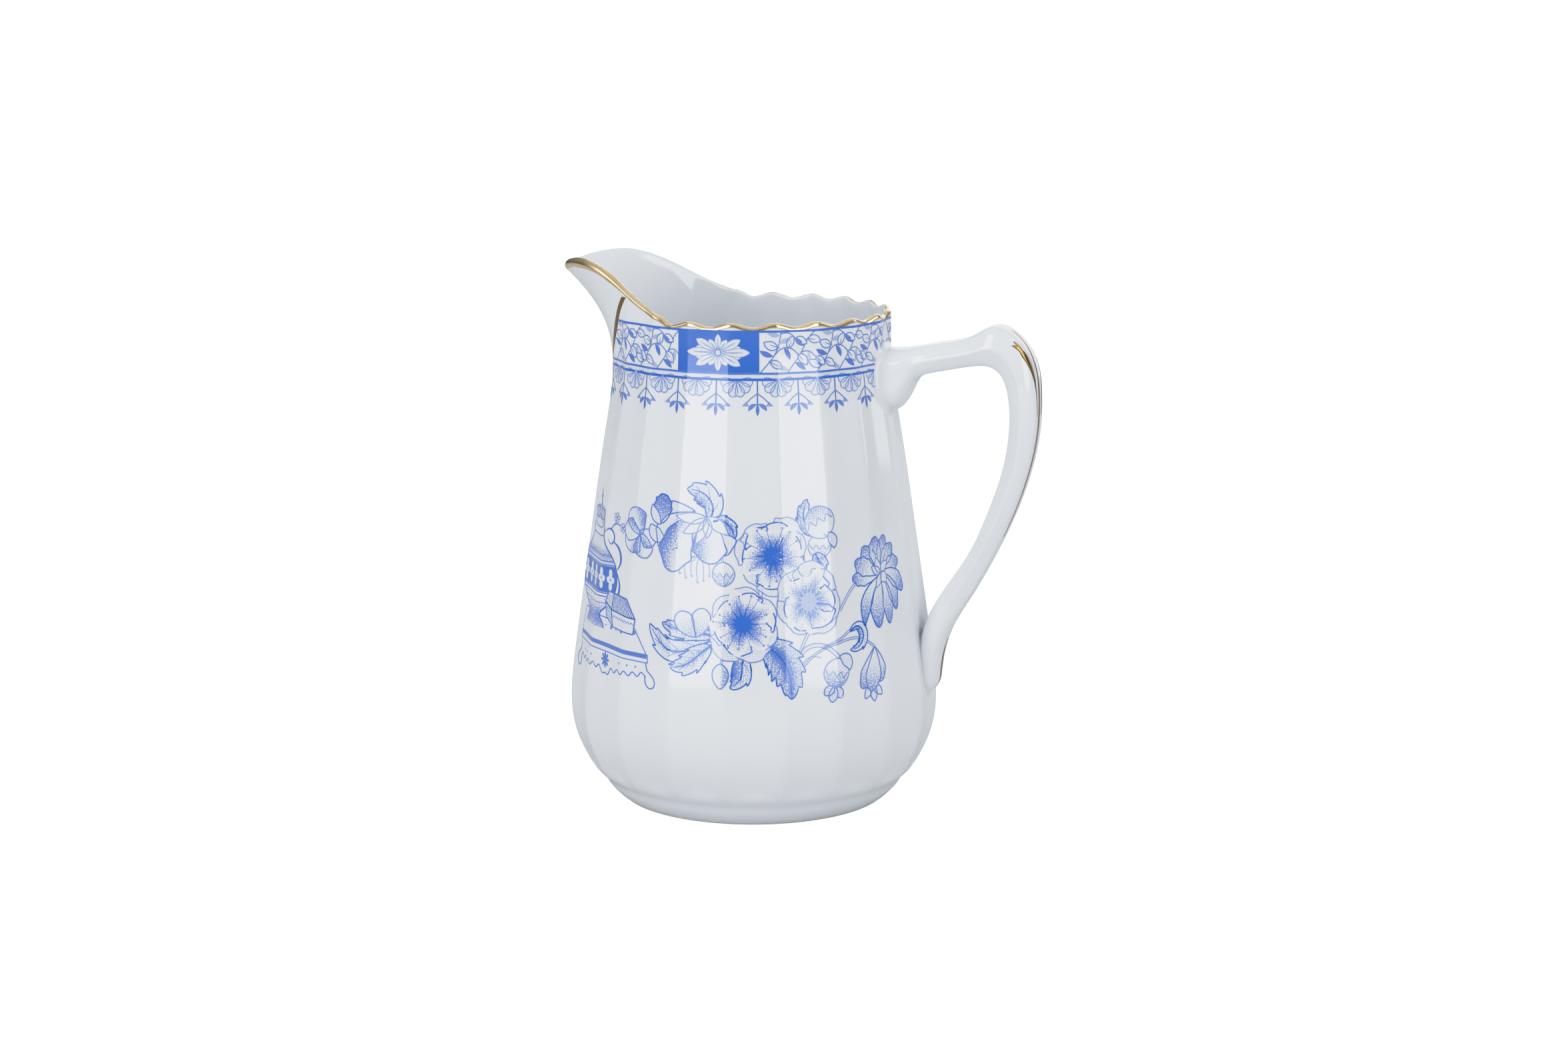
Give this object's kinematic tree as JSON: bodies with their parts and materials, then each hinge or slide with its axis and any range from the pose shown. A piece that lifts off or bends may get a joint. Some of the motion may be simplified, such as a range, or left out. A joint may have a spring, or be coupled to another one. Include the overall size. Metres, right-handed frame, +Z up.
{
  "type": "cream jug",
  "caption": "Footed porcelain cream jug with a fluted body, a pulled lip, an ear-shaped handle, a gilded scalloped rim and blue floral transfers.",
  "frame": {"origin": "centre of the foot ring on the surface that the jug stands on", "axes": "+Z up, +X from the body's axis towards the handle, -X towards the lip, -Y the side on the left of someone who pours"},
  "size_m": [0.1022, 0.0768, 0.1134],
  "materials": {
    "porcelain": "clear gloss glaze over white porcelain",
    "luting_slip": "glazed over, gloss",
    "blue_print": "cobalt blue transfer under gloss glaze",
    "gold": "thin burnished bright gold, fired on"
  },
  "bodies": {
    "root": {"body": "porcelain", "handle": "porcelain", "upper_luting_slip": "luting_slip", "lower_luting_slip": "luting_slip", "border_transfer": "blue_print", "spray_transfer_left": "blue_print", "vase_transfer_left": "blue_print", "spray_transfer_right": "blue_print", "vase_transfer_right": "blue_print", "rim_gilding": "gold", "lip_seam_gilding_left": "gold", "lip_seam_gilding_right": "gold", "handle_spine_gilding": "gold", "handle_tail_gilding": "gold", "handle_stroke_left": "gold", "handle_stroke_right": "gold"}
  },
  "joints": []
}
